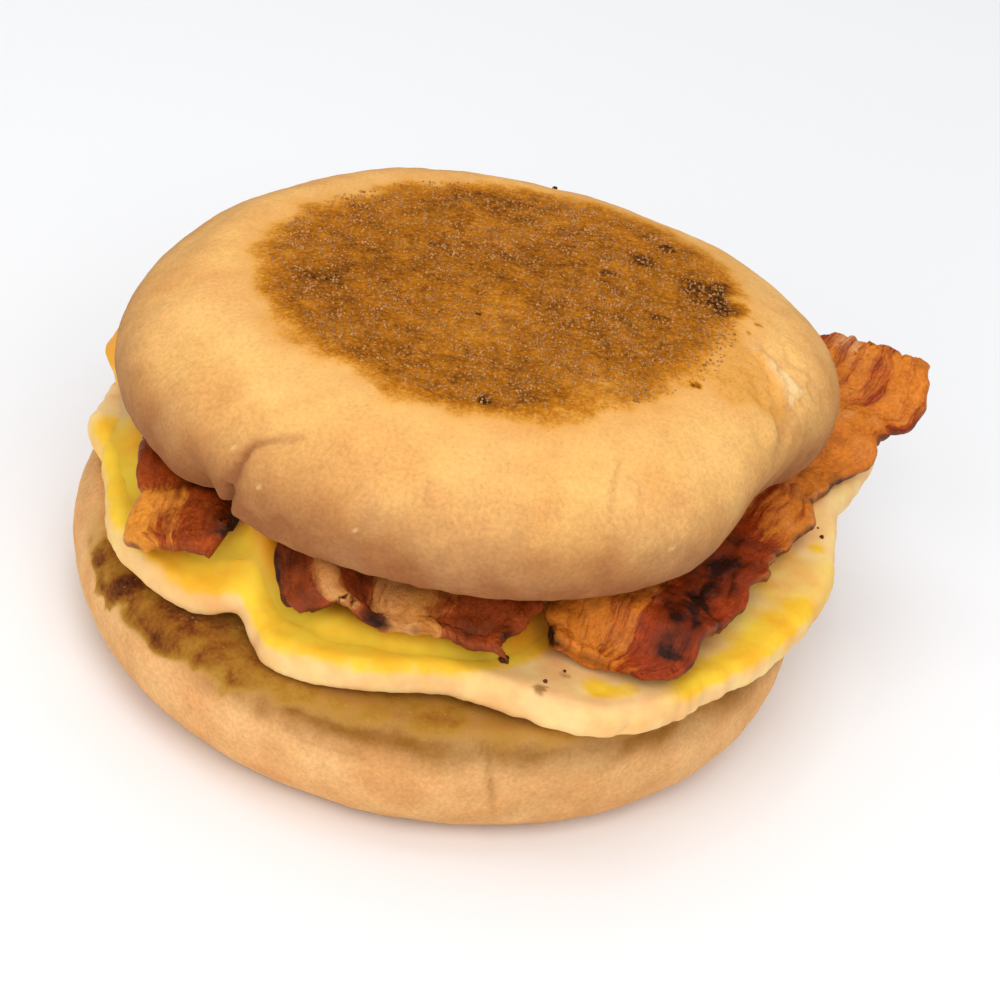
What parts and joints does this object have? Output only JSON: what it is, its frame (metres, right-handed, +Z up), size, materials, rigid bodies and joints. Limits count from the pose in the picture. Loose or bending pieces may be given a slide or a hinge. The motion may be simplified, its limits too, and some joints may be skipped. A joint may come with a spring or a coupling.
{
  "type": "breakfast sandwich",
  "caption": "Round breakfast sandwich: a griddled split muffin filled with a flat cooked egg, melted cheese and strips of crisp bacon.",
  "frame": {"origin": "centre of the bottom half's flat base, where the sandwich rests", "axes": "+Z up, -Y towards the front that the filling shows at, +X right, towards the bacon that sticks out"},
  "size_m": [0.1091, 0.0961, 0.0542],
  "materials": {
    "muffin": "baked wheat crust, floury at the side and toasted brown on the flat faces",
    "egg": "cooked beaten egg, cream at the cut edge and yellow on top, slightly moist",
    "cheese": "melted processed cheese, smooth and slightly shiny",
    "bacon": "fried streaky bacon, greasy, with pale fat and dark crisp edges"
  },
  "bodies": {
    "root": {"muffin_bottom": "muffin", "egg": "egg", "cheese": "cheese", "bacon_left": "bacon", "bacon_middle": "bacon", "bacon_right": "bacon", "muffin_top": "muffin"}
  },
  "joints": []
}
